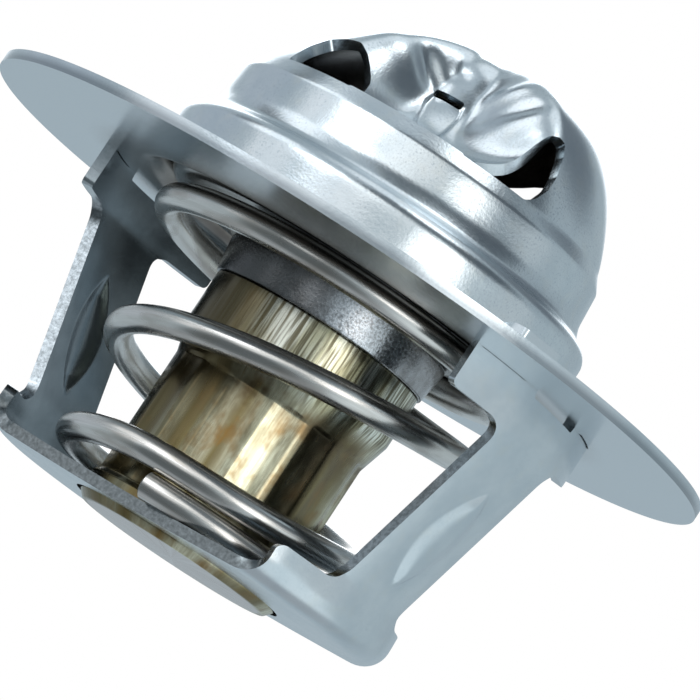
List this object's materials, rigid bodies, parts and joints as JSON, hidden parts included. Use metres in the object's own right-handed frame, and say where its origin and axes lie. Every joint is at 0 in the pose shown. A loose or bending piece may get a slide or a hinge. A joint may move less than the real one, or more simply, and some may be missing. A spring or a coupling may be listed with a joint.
{
  "type": "engine thermostat",
  "caption": "Engine coolant thermostat: round stamped flange with a domed bridge, a wax capsule, a conical return spring and a hooked lower frame that lets the valve open downward.",
  "frame": {"origin": "on the axis, in the plane of the flange's underside", "axes": "+Z along the axis toward the domed bridge; the two legs of the lower frame stand on +X and -X; the valve opens toward -Z"},
  "size_m": [0.054, 0.054, 0.0389],
  "materials": {
    "zinc_steel": "bright zinc-plated deep-drawn sheet steel, satin with a fine grain",
    "spring_wire": "drawn spring wire, fine draw lines, bright",
    "dark_steel": "dark turned steel, slightly pitted",
    "cup_brass": "pressed brass, dulled, fine lengthwise lines",
    "membrane_rubber": "black moulded rubber",
    "seal_plastic": "white low-friction plastic",
    "piston_steel": "ground stainless pin",
    "wax": "copper-filled wax"
  },
  "bodies": {
    "bridge": {"flange_bridge": "zinc_steel", "lower_frame": "zinc_steel", "piston": "piston_steel", "rubber_plug": "membrane_rubber", "seal_disc": "seal_plastic", "return_spring": "spring_wire"},
    "valve": {"valve_plate": "zinc_steel", "hub_collar": "dark_steel", "capsule_cup": "cup_brass", "capsule_guide": "cup_brass", "diaphragm": "membrane_rubber", "wax_charge": "wax"}
  },
  "joints": [
    {"name": "valve_open", "type": "slide", "parent": "bridge", "child": "valve", "axis": [0, 0, -1], "range_m": [0, 0.008], "stiffness_N_per_m": 6000, "springref_m": -0.01, "deforming": ["return_spring"]}
  ]
}
